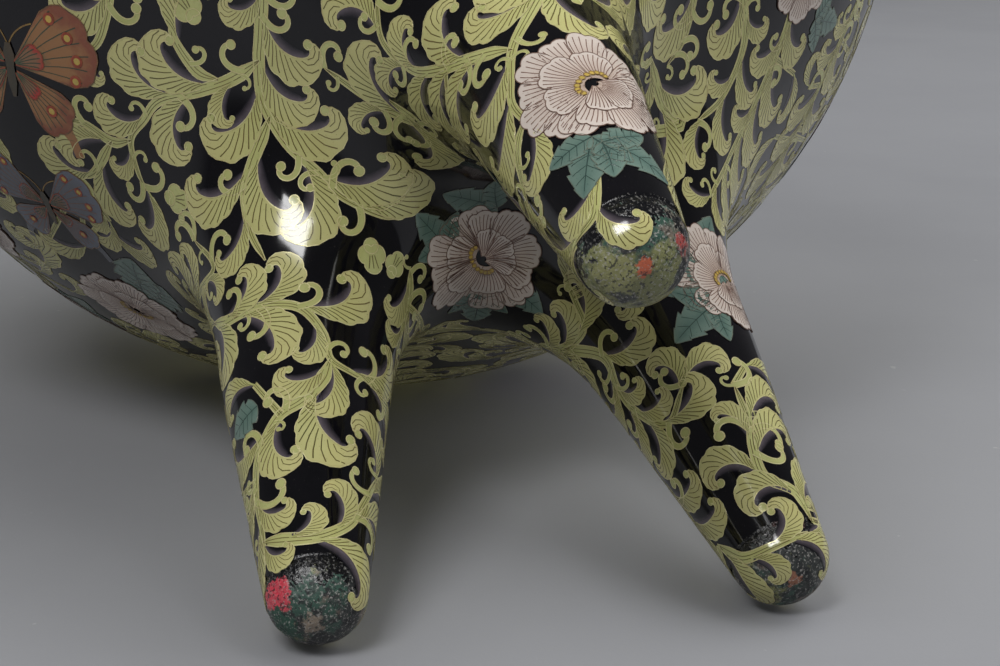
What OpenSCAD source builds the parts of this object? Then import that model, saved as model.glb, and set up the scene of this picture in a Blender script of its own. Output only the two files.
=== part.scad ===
// Cloisonne tripod vase: a globular copper body on three tall tapering legs,
// coated with enamel, with a short waisted neck and a metal rim at the mouth.
// Frame: +Z up, origin on the vase's axis at the surface that the feet stand on.

/* [Belly] */
// Outer radius of the globular belly, over the enamel
belly_r = 140; // [125:1:150]
// Height of the belly's centre above the centres of the rounded leg ends
belly_rise = 230; // [222:1:240]

/* [Neck] */
// Outer radius of the neck at its waist
neck_r = 44; // [38:1:50]
// Radius of the hollow curve between the belly and the neck
shoulder_r = 26; // [20:1:32]
// Length of the straight part of the neck
neck_straight = 14; // [10:1:20]
// Radius of the curve that turns the neck out into the mouth
mouth_curve_r = 38; // [30:1:44]
// How far the mouth turns outward, in degrees
mouth_turn = 55; // [40:1:65]

/* [Legs] */
// Azimuth of the first leg, in degrees
first_leg_azimuth = -45; // [-60:5:60]
// Distance of the leg ends' centres from the vase's axis
foot_spread = 53.3; // [48:0.1:60]
// Angle between the vase's axis and the leg roots, seen from the belly's centre
root_angle = 15; // [13.5:0.5:17]
// Distance from the belly's centre to the bend of each leg
knee_reach = 176; // [172:1:182]
// Radius of the rounded leg end
foot_r = 9.7; // [8.5:0.1:11]
// How fast a leg grows thicker towards the belly, per millimetre of its length
leg_growth = 0.143; // [0.12:0.001:0.16]
// Radius of the hollow curve between a leg and the belly
flare_r = 30; // [22:1:34]
// Thickness ground off each foot to make a flat bearing spot
foot_flat = 0.5; // [0.2:0.1:0.6]
// Height of the unpolished foot end above its own centre, along the leg
worn_height = 1.5; // [0:0.5:4]

/* [Walls] */
// Thickness of the enamel on the outside
enamel_t = 1.2; // [1:0.1:1.6]
// Thickness of the beaten copper
copper_t = 1.8; // [1.4:0.1:2.2]
// Thickness of the plain counter-enamel inside
lining_t = 0.6; // [0.4:0.1:1]
// Thickness of the silver solder in each seam
solder_t = 0.6; // [0.4:0.1:1]
// Diameter of the firing vent that opens each hollow leg into the belly
vent_d = 4; // [3:0.5:6]

/* [Rim] */
// Radius of the bead round the mouth
rim_bead_r = 2.4; // [2:0.1:3]
// Height of the rim's band below the bead
rim_band_h = 2; // [1:0.5:4]

/* [Colours] */
// Black enamel ground
ground_colour = "#17151a";
// Copper
copper_colour = "#b0704a";
// Silver solder
solder_colour = "#b9bcc0";
// Counter-enamel inside
lining_colour = "#2f4a58";
// Worn enamel on the foot ends
worn_colour = "#3d4a40";
// Rim metal
rim_colour = "#a5a39c";

/* [Hidden] */
$fn = 288;

// Depths of the layers below the outer enamel surface
copper_d = enamel_t;
lining_d = enamel_t + copper_t;
inside_d = lining_d + lining_t;

// Heights above the floor
foot_z = foot_r - foot_flat;
centre_z = foot_z + belly_rise;

// Leg azimuths: a, b and c stand 120 degrees apart
azimuth_c = first_leg_azimuth;
azimuth_a = first_leg_azimuth - 120;
azimuth_b = first_leg_azimuth + 120;

// Leg plane: x is the distance from the vase's axis, y the drop below the belly's centre
knee = knee_reach * [sin(root_angle), cos(root_angle)];
foot = [foot_spread, belly_rise];
shin = norm(foot - knee);
shin_angle = atan2(foot.x - knee.x, foot.y - knee.y);
knee_r = foot_r + leg_growth * shin;

// The leg's sides lean by this angle, and this is their outward direction
taper = asin(leg_growth);
side_out = [cos(taper), sin(taper)];
side_up = [sin(taper), -cos(taper)];

// Flare: a circle that touches the leg's side and the belly. flare_start is the
// distance along the side, from the knee towards the belly, at which it begins.
flare_reach = knee_r + flare_r;
flare_start = knee_reach * cos(taper)
    - sqrt(pow(belly_r + flare_r, 2) - pow(flare_reach + knee_reach * sin(taper), 2));
flare_c = [0, knee_reach] + flare_reach * side_out + flare_start * side_up;
toe_angle = atan2(flare_c.x, flare_c.y);

// Neck: a circle that touches the belly and the waist, then one that opens the mouth
shoulder_c = [neck_r + shoulder_r,
    sqrt(pow(belly_r + shoulder_r, 2) - pow(neck_r + shoulder_r, 2))];
shoulder_dir = shoulder_c / norm(shoulder_c);
neck_foot_z = belly_r * shoulder_dir.y;
waist_top_z = shoulder_c.y + neck_straight;
mouth_c = [neck_r + mouth_curve_r, waist_top_z];
mouth_z = waist_top_z + mouth_curve_r * sin(mouth_turn);
mouth_r = mouth_c.x - mouth_curve_r * cos(mouth_turn);

// Larger than the whole vase
big = 600;
// How far the round knee stands proud of the two stretches that it joins
knee_proud = 0.05;

// Right-hand half plane, where every turned outline lies
module right_half() {
    translate([0, -big]) square([big, 2 * big]);
}

// Half outline of the belly, depth d below the outer surface
module belly_outline(d) {
    intersection() {
        circle(belly_r - d);
        right_half();
    }
}

// Half outline of the neck, depth d below the outer surface
module neck_outline(d) {
    touch = (belly_r - d) * shoulder_dir;
    difference() {
        polygon([[0, touch.y], touch, shoulder_c, [0, shoulder_c.y]]);
        translate(shoulder_c) circle(shoulder_r + d);
    }
    translate([0, shoulder_c.y]) square([neck_r - d, neck_straight]);
    difference() {
        polygon([[0, mouth_c.y], mouth_c, [mouth_c.x, mouth_z], [0, mouth_z]]);
        translate(mouth_c) circle(mouth_curve_r + d);
    }
}

// Turned shell between two depths, kept between two heights above the belly's centre
module belly_shell(outer_d, inner_d, low, high) {
    translate([0, 0, centre_z]) rotate_extrude() intersection() {
        difference() {
            belly_outline(outer_d);
            belly_outline(inner_d);
        }
        translate([0, low]) square([big, high - low]);
    }
}

// Turned shell of the neck between two depths, from a height up to the mouth
module neck_shell(outer_d, inner_d, low, high) {
    translate([0, 0, centre_z]) rotate_extrude() intersection() {
        difference() {
            union() {
                belly_outline(outer_d);
                neck_outline(outer_d);
            }
            belly_outline(inner_d);
            neck_outline(inner_d);
        }
        translate([0, low]) square([big, high - low]);
    }
}

// Ball about the belly's centre, depth d below the outer surface
module belly_ball(d) {
    translate([0, 0, centre_z]) sphere(belly_r - d);
}

// Half outline of a leg's upper stretch with its flare; y runs outward from the belly's centre
module thigh_outline(d) {
    inner_y = belly_r * 0.7;
    side_start = flare_c - (flare_r + d) * side_out;
    side_end = [0, knee_reach] + (knee_r - d) * side_out;
    difference() {
        polygon([[0, inner_y], [inner_y * tan(toe_angle), inner_y], flare_c, side_start, side_end,
            [0, side_end.y]]);
        translate(flare_c) circle(flare_r + d);
    }
}

// Half outline of a leg's lower stretch; y runs outward from the knee
module shin_outline(d) {
    side_start = (knee_r - d) * side_out;
    side_end = [0, shin] + (foot_r - d) * side_out;
    polygon([[0, side_start.y], side_start, side_end, [0, side_end.y]]);
    intersection() {
        translate([0, shin]) circle(foot_r - d);
        right_half();
    }
}

// Solid leg along azimuth 0, depth d below its outer surface: two stretches and a round knee
module leg_solid(d) {
    translate([0, 0, centre_z]) rotate([0, 180 - root_angle, 0])
        rotate_extrude() thigh_outline(d);
    translate([knee.x, 0, centre_z - knee.y]) {
        sphere(knee_r - d + knee_proud);
        rotate([0, 180 - shin_angle, 0]) rotate_extrude() shin_outline(d);
    }
}

// Third of a turn about the vase's axis, where one leg's own material lies
module own_third() {
    linear_extrude(centre_z)
        polygon([[0, 0], big * [cos(60), -sin(60)], big * [1, 0], big * [cos(60), sin(60)]]);
}

// Everything past the ring where a leg's polish ends
module past_polish() {
    translate([foot.x, 0, foot_z]) rotate([0, 180 - shin_angle, 0])
        translate([-big / 2, -big / 2, -worn_height]) cube(big);
}

// Everything below the floor
module below_floor() {
    translate([-big / 2, -big / 2, -big]) cube(big);
}

// Cone from the belly's centre that holds one leg's footprint
module footprint_cone() {
    translate([0, 0, centre_z]) rotate([0, 180 - root_angle, 0])
        cylinder(h = 2 * belly_r, r1 = 0, r2 = 2 * belly_r * tan(toe_angle));
}

// Firing vent through the bowl under one leg
module vent() {
    translate([0, 0, centre_z]) rotate([0, 180 - root_angle, 0])
        translate([0, 0, belly_r * 0.8]) cylinder(h = belly_r * 0.4, d = vent_d, $fn = 48);
}

module at_each_leg() {
    for (azimuth = [azimuth_a, azimuth_b, azimuth_c]) rotate(azimuth) children();
}

// Copper body, in two beaten halves
module body_bowl() {
    color(copper_colour) difference() {
        belly_shell(copper_d, lining_d, -belly_r, -solder_t / 2);
        at_each_leg() vent();
    }
}

module body_dome() {
    color(copper_colour) belly_shell(copper_d, lining_d, solder_t / 2, neck_foot_z - solder_t);
}

module belly_seam() {
    color(solder_colour) belly_shell(copper_d, lining_d, -solder_t / 2, solder_t / 2);
}

// Copper neck
module neck_tube() {
    color(copper_colour) neck_shell(copper_d, lining_d, neck_foot_z, mouth_z);
}

module neck_seam() {
    color(solder_colour) belly_shell(copper_d, lining_d, neck_foot_z - solder_t, neck_foot_z);
}

// Hollow copper leg
module leg_core(azimuth) {
    color(copper_colour) rotate(azimuth) difference() {
        intersection() {
            leg_solid(copper_d);
            own_third();
        }
        leg_solid(lining_d);
        belly_ball(copper_d - solder_t);
    }
}

// Solder between a hollow leg and the bowl
module leg_seam(azimuth) {
    color(solder_colour) rotate(azimuth) difference() {
        intersection() {
            leg_solid(copper_d);
            own_third();
            belly_ball(copper_d - solder_t);
        }
        leg_solid(lining_d);
        belly_ball(copper_d);
    }
}

// Plain counter-enamel inside the vase
module lining_bowl() {
    color(lining_colour) difference() {
        belly_shell(lining_d, inside_d, -belly_r, 0);
        at_each_leg() vent();
    }
}

module lining_dome() {
    color(lining_colour) belly_shell(lining_d, inside_d, 0, neck_foot_z);
}

module lining_neck() {
    color(lining_colour) neck_shell(lining_d, inside_d, neck_foot_z, mouth_z);
}

// Decorated enamel outside
module enamel_bowl() {
    color(ground_colour) difference() {
        belly_shell(0, copper_d, -belly_r, 0);
        at_each_leg() footprint_cone();
    }
}

module enamel_dome() {
    color(ground_colour) belly_shell(0, copper_d, 0, neck_foot_z);
}

module enamel_neck() {
    color(ground_colour) neck_shell(0, copper_d, neck_foot_z, mouth_z);
}

module enamel_leg(azimuth) {
    color(ground_colour) rotate(azimuth) difference() {
        intersection() {
            leg_solid(0);
            own_third();
        }
        leg_solid(copper_d);
        belly_ball(copper_d);
        past_polish();
    }
}

// Unpolished enamel cap on a leg's end, with a flat spot that bears on the floor
module foot_tip(azimuth) {
    color(worn_colour) rotate(azimuth) difference() {
        intersection() {
            leg_solid(0);
            past_polish();
        }
        leg_solid(copper_d);
        below_floor();
    }
}

// Metal band and bead that cover the raw edges at the mouth
module mouth_rim() {
    edge_inner = mouth_c.x - sqrt(pow(mouth_curve_r + inside_d, 2) - pow(mouth_z - mouth_c.y, 2));
    color(rim_colour) translate([0, 0, centre_z + mouth_z]) rotate_extrude() {
        translate([edge_inner, 0]) square([mouth_r - edge_inner, rim_band_h]);
        translate([(edge_inner + mouth_r) / 2, rim_band_h]) circle(rim_bead_r);
    }
}

body_bowl();
body_dome();
belly_seam();
neck_tube();
neck_seam();
leg_core(azimuth_a);  // leg_core_a
leg_core(azimuth_b);  // leg_core_b
leg_core(azimuth_c);  // leg_core_c
leg_seam(azimuth_a);  // leg_seam_a
leg_seam(azimuth_b);  // leg_seam_b
leg_seam(azimuth_c);  // leg_seam_c
lining_bowl();
lining_dome();
lining_neck();
enamel_bowl();
enamel_dome();
enamel_neck();
enamel_leg(azimuth_a);  // enamel_leg_a
enamel_leg(azimuth_b);  // enamel_leg_b
enamel_leg(azimuth_c);  // enamel_leg_c
foot_tip(azimuth_a);  // foot_tip_a
foot_tip(azimuth_b);  // foot_tip_b
foot_tip(azimuth_c);  // foot_tip_c
mouth_rim();
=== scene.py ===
"""Looks for the cloisonne tripod vase: black enamel with wires, scrolling leaves and flowers.

The enamel nodes of the CAD frame are replaced by finer skins of the same surface, and every inlaid
shape is a thin closed piece that follows that surface. Lengths are in millimetres in the CAD frame
until a mesh is made, when they become metres.
"""

from collections import defaultdict
from math import asin, atan2, cos, pi, radians, sin, sqrt

import bpy
import numpy as np
from mathutils import Matrix
from numpy.linalg import norm


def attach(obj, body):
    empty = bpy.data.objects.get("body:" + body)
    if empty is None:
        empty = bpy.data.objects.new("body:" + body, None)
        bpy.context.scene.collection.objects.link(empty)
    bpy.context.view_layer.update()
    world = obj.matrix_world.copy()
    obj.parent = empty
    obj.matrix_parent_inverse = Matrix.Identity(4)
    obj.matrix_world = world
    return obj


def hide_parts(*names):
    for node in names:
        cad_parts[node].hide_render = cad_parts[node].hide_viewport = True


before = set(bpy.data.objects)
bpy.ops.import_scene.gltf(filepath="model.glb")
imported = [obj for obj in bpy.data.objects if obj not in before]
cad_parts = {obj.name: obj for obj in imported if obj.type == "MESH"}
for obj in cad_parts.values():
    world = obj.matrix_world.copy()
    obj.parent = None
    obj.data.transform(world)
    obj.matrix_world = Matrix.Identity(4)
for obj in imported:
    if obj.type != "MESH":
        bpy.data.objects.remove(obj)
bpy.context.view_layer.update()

# ---------------------------------------------------------------- the vase's own dimensions
MM = 0.001
UP = np.array([0.0, 0.0, 1.0])
BELLY_R = 140.0
CENTRE = np.array([0.0, 0.0, 239.2])
NECK_R, SHOULDER_R, NECK_STRAIGHT = 44.0, 26.0, 14.0
MOUTH_CURVE_R, MOUTH_TURN = 38.0, radians(55)
FOOT_R, FOOT_SPREAD, FOOT_FLAT, LEG_GROWTH = 9.7, 53.3, 0.5, 0.143
ROOT_ANGLE, KNEE_REACH = radians(15), 176.0
ENAMEL_T = 1.2
WORN_HEIGHT = 1.5
LEG_AZIMUTH = {"a": -165, "b": 75, "c": -45}

# How far the belly and the legs melt into each other, below which height the legs count, half the
# length of each leg's bend, and how far from the belly's centre its line ends
BLEND = 40.0
LEGS_BELOW = -0.62 * BELLY_R
BEND_HALF = 16.0
ROOT_END = 60

SHOULDER_C = np.array([NECK_R + SHOULDER_R,
                       sqrt((BELLY_R + SHOULDER_R) ** 2 - (NECK_R + SHOULDER_R) ** 2)])
SHOULDER_DIR = SHOULDER_C / norm(SHOULDER_C)
MOUTH_C = np.array([NECK_R + MOUTH_CURVE_R, SHOULDER_C[1] + NECK_STRAIGHT])
MOUTH_Z = MOUTH_C[1] + MOUTH_CURVE_R * sin(MOUTH_TURN)

# The way back from the vase to the camera
BACK = np.array([0.277, -0.640, -0.717])
BACK = BACK / norm(BACK)


# ---------------------------------------------------------------- small helpers
def unit(v):
    return v / np.maximum(norm(v, axis=-1, keepdims=True), 1e-12)


def direction(line):
    """Direction along a line of points."""
    return unit(np.gradient(line, axis=0))


def rays(turn):
    """Flat unit vectors at the given angles."""
    return np.stack([np.cos(turn), np.sin(turn)], -1)


def leftward(along):
    return np.stack([-along[:, 1], along[:, 0]], 1)


def full_turn(count):
    return np.linspace(0, 2 * pi, count, endpoint=False)


def swung(turn, first, second):
    """Unit vectors turned from first towards second."""
    return np.cos(turn)[..., None] * first + np.sin(turn)[..., None] * second


def join(*parts):
    return np.concatenate(parts)


# ---------------------------------------------------------------- the outer enamel surface
class Leg:
    """One leg as balls of growing radius strung on a gently bent line."""

    def __init__(self, name):
        turn = radians(LEG_AZIMUTH[name])
        self.out = np.array([cos(turn), sin(turn), 0.0])
        self.across = np.array([-sin(turn), cos(turn), 0.0])
        self.foot = np.array([0, 0, FOOT_R - FOOT_FLAT]) + FOOT_SPREAD * self.out
        self.root_dir = sin(ROOT_ANGLE) * self.out - cos(ROOT_ANGLE) * UP
        knee = CENTRE + KNEE_REACH * self.root_dir
        self.shin = norm(knee - self.foot)
        self.dir_low = (knee - self.foot) / self.shin
        self.dir_high = -self.root_dir
        self.length = self.shin + KNEE_REACH - ROOT_END

    def line(self, s):
        """Point and direction of the centre line at length s from the foot."""
        past = np.clip(s - (self.shin - BEND_HALF), 0, None)
        ramp = np.where(past < 2 * BEND_HALF, past ** 2 / (4 * BEND_HALF), past - BEND_HALF)
        slope = np.clip(past / (2 * BEND_HALF), 0, 1)
        turn = self.dir_high - self.dir_low
        point = self.foot + s[..., None] * self.dir_low + ramp[..., None] * turn
        return point, unit(self.dir_low + slope[..., None] * turn)

    def field(self, p):
        """Signed distance to the leg's skin, its gradient, and the length s of the nearest ball."""
        s = np.clip((p - self.foot) @ self.dir_low, 0, self.length)
        lean = LEG_GROWTH / sqrt(1 - LEG_GROWTH ** 2)
        for _ in range(3):
            point, along = self.line(s)
            v = p - point
            a = (v * along).sum(-1)
            side = norm(v - a[..., None] * along, axis=-1)
            s = np.clip(s + a + side * lean, 0, self.length)
        v = p - self.line(s)[0]
        d = norm(v, axis=-1)
        return d - (FOOT_R + LEG_GROWTH * s), v / np.maximum(d, 1e-9)[..., None], s

    def ring(self, turn, along):
        """Points on the skin round the centre line, turned from the outer side, before settling."""
        point, axis = self.line(along)
        outer = unit(self.out - (axis @ self.out)[:, None] * axis)
        return point + (FOOT_R + LEG_GROWTH * along)[:, None] * swung(turn, outer, self.across)


LEGS = {name: Leg(name) for name in LEG_AZIMUTH}


def simplex_weights(y):
    """Nearest point of the unit simplex to each row of y."""
    ordered = -np.sort(-y, axis=1)
    excess = np.cumsum(ordered, axis=1) - 1
    count = np.arange(1, y.shape[1] + 1)
    last = (ordered - excess / count > 0).sum(axis=1)
    shift = excess[np.arange(len(y)), last - 1] / last
    return np.clip(y - shift[:, None], 0, None)


def field(p):
    """Signed height above the outer surface and its gradient, for points (n, 3)."""
    rel = p - CENTRE
    far = norm(rel, axis=1)
    height = far - BELLY_R
    slope = rel / far[:, None]
    low = np.flatnonzero(rel[:, 2] < LEGS_BELOW)
    if len(low):
        parts = [(height[low], slope[low])] + [leg.field(p[low])[:2] for leg in LEGS.values()]
        gaps = np.stack([part[0] for part in parts], 1)
        share = simplex_weights(-gaps / BLEND)
        height[low] = (share * gaps).sum(1) + BLEND / 2 * ((share ** 2).sum(1) - 1)
        slope[low] = sum(share[:, i, None] * part[1] for i, part in enumerate(parts))
    out = np.hypot(rel[:, 0], rel[:, 1])
    high = np.flatnonzero(rel[:, 2] * SHOULDER_DIR[0] > out * SHOULDER_DIR[1])
    if len(high):
        r, z = out[high], rel[high, 2]
        radial = rel[high] * [1, 1, 0] / np.maximum(r, 1e-9)[:, None]
        for centre, radius, zone in ((SHOULDER_C, SHOULDER_R, z < SHOULDER_C[1]),
                                     (MOUTH_C, MOUTH_CURVE_R, z > MOUTH_C[1])):
            dr, dz = centre[0] - r, centre[1] - z
            d = np.hypot(dr, dz)
            height[high[zone]] = (radius - d)[zone]
            slope[high[zone]] = ((dr / d)[:, None] * radial + (dz / d)[:, None] * UP)[zone]
        straight = (z >= SHOULDER_C[1]) & (z <= MOUTH_C[1])
        height[high[straight]] = (r - NECK_R)[straight]
        slope[high[straight]] = radial[straight]
    return height, slope


def normals_at(p):
    return unit(field(p)[1])


def settle(p, lift=0.0, times=3):
    """Moves points onto the surface, or lift millimetres above it. Returns points and normals."""
    for _ in range(times):
        height, slope = field(p)
        p = p - ((height - lift) / (slope ** 2).sum(1))[:, None] * slope
    return p, normals_at(p)


def level(v, normal):
    """Directions brought square to the normals."""
    return unit(v - (v * normal).sum(-1)[..., None] * normal)


def walk(p, heading, distance):
    """Steps along the surface. Returns the new points, headings and normals."""
    p, normal = settle(p + heading * np.asarray(distance)[..., None], times=2)
    return p, level(heading, normal), normal


OUTSIDE_REACH = 172.0


def place(spot):
    """Surface point from ("o", azimuth, degrees from straight down) on the body, or on a leg from
    (leg name, degrees round it from its outer side, length from the foot)."""
    name, turn, along = spot
    if name != "o":
        leg = LEGS[name]
        return settle(leg.ring(np.array([radians(turn)]), np.array([float(along)])), times=8)[0][0]
    out = sin(radians(along))
    ray = np.array([[out * cos(radians(turn)), out * sin(radians(turn)), -cos(radians(along))]])
    reach = OUTSIDE_REACH
    for _ in range(14):
        height, slope = field(CENTRE + reach * ray)
        reach -= height[0] / max((slope[0] * ray[0]).sum(), 0.5)
    return CENTRE + reach * ray[0]


# ---------------------------------------------------------------- meshes
def add_mesh(name, points, quads, tris=(), normals=None, materials=()):
    """Blender object from millimetre points, quads (n, 4), tris (n, 3) and one normal per point."""
    quads = np.asarray(quads, np.int32).reshape(-1, 4)
    tris = np.asarray(tris, np.int32).reshape(-1, 3)
    mesh = bpy.data.meshes.new(name)
    mesh.vertices.add(len(points))
    mesh.vertices.foreach_set("co", (np.asarray(points) * MM).astype(np.float32).ravel())
    corners = join(quads.ravel(), tris.ravel())
    mesh.loops.add(len(corners))
    mesh.loops.foreach_set("vertex_index", corners)
    starts = join(np.arange(len(quads)) * 4, len(quads) * 4 + np.arange(len(tris)) * 3)
    mesh.polygons.add(len(starts))
    mesh.polygons.foreach_set("loop_start", starts.astype(np.int32))
    mesh.polygons.foreach_set("use_smooth", np.ones(len(starts), bool))
    mesh.update(calc_edges=True)
    if normals is not None:
        mesh.normals_split_custom_set_from_vertices(np.asarray(normals, np.float32))
    for material in materials:
        mesh.materials.append(material)
    piece = bpy.data.objects.new(name, mesh)
    bpy.context.scene.collection.objects.link(piece)
    return piece


def grid_quads(rows, columns, wrap=False):
    """Quads of a rows by columns grid of points, closed round in the columns if wrap is true."""
    across = columns if wrap else columns - 1
    i, j = np.meshgrid(np.arange(rows - 1), np.arange(across), indexing="ij")
    k = (j + 1) % columns
    this, after = i * columns, (i + 1) * columns
    return np.stack([this + j, this + k, after + k, after + j], -1).reshape(-1, 4)


def welded(points, normals, quads):
    """Joins points that coincide and drops the faces that this flattens, keeping thin triangles."""
    _, first, where = np.unique(np.round(points, 4), axis=0, return_index=True, return_inverse=True)
    quads = where.reshape(-1)[quads]
    turned = [np.roll(quads, -a, axis=1) for a in range(4)]
    tris = join(*[q[q[:, 0] == q[:, 1], 1:] for q in turned])
    same = (quads == turned[1]).any(1)
    whole = (tris != np.roll(tris, -1, axis=1)).all(1)
    return points[first], normals[first], quads[~same], tris[whole]


def closed_shell(name, points, normals, quads, thickness, material, tris=()):
    """A sheet of the given thickness below a surface, closed along its edges."""
    tris = np.asarray(tris, int).reshape(-1, 3)
    n = len(points)
    below = points - thickness * normals
    edges = join(*[quads[:, [i, (i + 1) % 4]] for i in range(4)],
                 *[tris[:, [i, (i + 1) % 3]] for i in range(3)])
    key = edges[:, 0] * n + edges[:, 1]
    back = edges[:, 1] * n + edges[:, 0]
    rim = edges[~np.isin(key, back)]
    walls = np.stack([rim[:, 1], rim[:, 0], rim[:, 0] + n, rim[:, 1] + n], 1)
    return add_mesh(name, join(points, below), join(quads, quads[:, ::-1] + n, walls),
                    join(tris, tris[:, ::-1] + n), join(normals, -normals), [material])


def skin(name, points, quads, material):
    """Ground enamel in place of a CAD node, as a shell under the given surface points."""
    points, normals, quads, tris = welded(points, normals_at(points), quads)
    piece = closed_shell("ground_" + name, points, normals, quads, ENAMEL_T, material, tris)
    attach(piece, "root")
    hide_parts("enamel_" + name)


# ---------------------------------------------------------------- ground skins
FLARE_R = 30.0
LEG_COLUMNS = 256
BOWL_ROWS = 52
LEG_TURN = full_turn(LEG_COLUMNS) + pi / LEG_COLUMNS


def turned_skin(node, rows, columns, material):
    """Surface of revolution from rows of (radius, height above the belly's centre)."""
    r, z = np.array(rows).T
    points = r[:, None, None] * rays(full_turn(columns))
    points = np.dstack([points, np.repeat(z[:, None], columns, 1)]).reshape(-1, 3) + CENTRE
    skin(node, points, grid_quads(len(rows), columns, wrap=True), material)


def arc_rows(centre, radius, start, end, count):
    """Points (radius, height) of an arc about centre, from one angle to another."""
    return list(centre + radius * rays(np.linspace(start, end, count)))


def upper_skins(material):
    turned_skin("dome", arc_rows((0, 0), BELLY_R, 0, asin(SHOULDER_DIR[1]), 72), 360, material)
    touch = atan2(-SHOULDER_DIR[1], -SHOULDER_DIR[0])
    rows = arc_rows(SHOULDER_C, SHOULDER_R, touch, -pi, 26)
    rows += [(NECK_R, z) for z in np.linspace(SHOULDER_C[1], MOUTH_C[1], 8)[1:]]
    rows += arc_rows(MOUTH_C, MOUTH_CURVE_R, pi, pi - MOUTH_TURN, 30)[1:]
    turned_skin("neck", rows, 256, material)


def toe_angle():
    """Angle, about the belly's centre, from a leg's root to where its flare meets the belly."""
    taper = asin(LEG_GROWTH)
    reach = FOOT_R + LEG_GROWTH * LEGS["a"].shin + FLARE_R
    start = KNEE_REACH * cos(taper) - sqrt(
        (BELLY_R + FLARE_R) ** 2 - (reach + KNEE_REACH * sin(taper)) ** 2)
    x = reach * cos(taper) + start * sin(taper)
    y = KNEE_REACH + reach * sin(taper) - start * cos(taper)
    return atan2(x, y)


def leg_limits(leg):
    """Ray directions round a leg's root and the angles where its skin and the bowl's skin end."""
    outward = cos(ROOT_ANGLE) * leg.out + sin(ROOT_ANGLE) * UP
    around = swung(LEG_TURN, outward, leg.across)
    third = np.full(LEG_COLUMNS, pi)
    for sign in (-1, 1):
        wall = sin(pi / 3) * leg.out + sign * cos(pi / 3) * leg.across
        third = np.minimum(third, np.arctan2(wall @ leg.root_dir, -(around @ wall)))
    equator = np.arctan2(-leg.root_dir[2], around[:, 2])
    return around, np.minimum(toe_angle(), third), np.minimum(third, equator)


def leg_ring(leg, along):
    """Ring of surface points round a leg, square to its centre line."""
    return settle(leg.ring(LEG_TURN, np.full(LEG_COLUMNS, float(along))), times=4)[0]


def leg_skin_rows(leg, around, toe):
    """Rings from the end of the polish up to the toe of the flare."""
    flare_at = 62.0
    rows = [leg_ring(leg, s) for s in np.linspace(WORN_HEIGHT, flare_at, 62)]
    low, high = rows[-1], settle(CENTRE + BELLY_R * swung(toe, leg.root_dir, around), times=5)[0]
    reach = 1.3 * norm(high - low, axis=1)[:, None]
    leave = unit(rows[-1] - rows[-2]) * reach
    arrive = swung(toe, around, -leg.root_dir) * reach
    for u in np.linspace(0, 1, 44)[1:-1]:
        h = 3 * u ** 2 - 2 * u ** 3
        point = (1 - h) * low + h * high + u * (1 - u) ** 2 * leave - u ** 2 * (1 - u) * arrive
        rows.append(settle(point, times=5)[0])
    return rows + [high]


def lower_skins(material):
    """Skins of the three legs and of the bowl round them, which share the toes of the flares."""
    bowl = []
    for name, leg in LEGS.items():
        around, toe, limit = leg_limits(leg)
        rows = leg_skin_rows(leg, around, toe)
        skin("leg_" + name, join(*rows), grid_quads(len(rows), LEG_COLUMNS, wrap=True), material)
        angles = toe + np.linspace(0, 1, BOWL_ROWS)[:, None] * (limit - toe)
        points = CENTRE + BELLY_R * swung(angles, leg.root_dir, around)
        bowl.append(settle(points.reshape(-1, 3), times=5)[0])
    quads = grid_quads(BOWL_ROWS, LEG_COLUMNS, wrap=True)
    skin("bowl", join(*bowl), join(*[quads + i * len(bowl[0]) for i in range(3)]), material)


# ---------------------------------------------------------------- flat shapes, before they are laid
RNG = np.random.default_rng(7)
WIRE = 0.1


class Flat:
    """Closed thin shapes in one plane: points (u, v), height above the vase, fade and triangles."""

    def __init__(self):
        self.parts, self.size = [], 0

    def add(self, uv, lift, fade, tris):
        self.parts.append((uv, lift, fade, tris + self.size))
        self.size += len(uv)

    def arrays(self):
        return tuple(join(*part) for part in zip(*self.parts))


def tri(a, b, c):
    return np.stack(np.broadcast_arrays(a, b, c), -1).reshape(-1, 3)


def slab(flat, grid, lift=0.05, depth=0.3, fade=None):
    """Slab whose top is a grid (rows, columns, 2), columns going left, with a keel underneath."""
    rows, cols = grid.shape[:2]
    n = rows * cols
    q = np.add.outer(np.arange(rows - 1) * cols, np.arange(cols - 1))
    right = np.arange(rows - 1) * cols
    left = right + cols - 1
    keel = n + np.arange(rows - 1)
    e = np.arange(cols - 1)
    last = n - cols
    tris = join(tri(q, q + cols, q + cols + 1), tri(q, q + cols + 1, q + 1),
                tri(left, left + cols, keel + 1), tri(left, keel + 1, keel),
                tri(right + cols, right, keel), tri(right + cols, keel, keel + 1),
                tri(e + 1, n, e), tri(last + e, n + rows - 1, last + e + 1))
    fade = np.zeros((rows, cols)) if fade is None else np.broadcast_to(fade, (rows, cols))
    flat.add(join(grid.reshape(-1, 2), grid.mean(axis=1)),
             join(np.full(n, lift), np.full(rows, -depth)),
             join(fade.reshape(-1), fade.mean(axis=1)), tris)


def strip(flat, line, half, lift=0.09, depth=0.12, fade=0.0):
    """Ribbon along a line of points, half wide on each side."""
    line = np.asarray(line, float)
    left = leftward(direction(line)) * np.broadcast_to(half, len(line))[:, None]
    slab(flat, np.stack([line - left, line + left], 1), lift, depth, fade)


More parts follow.
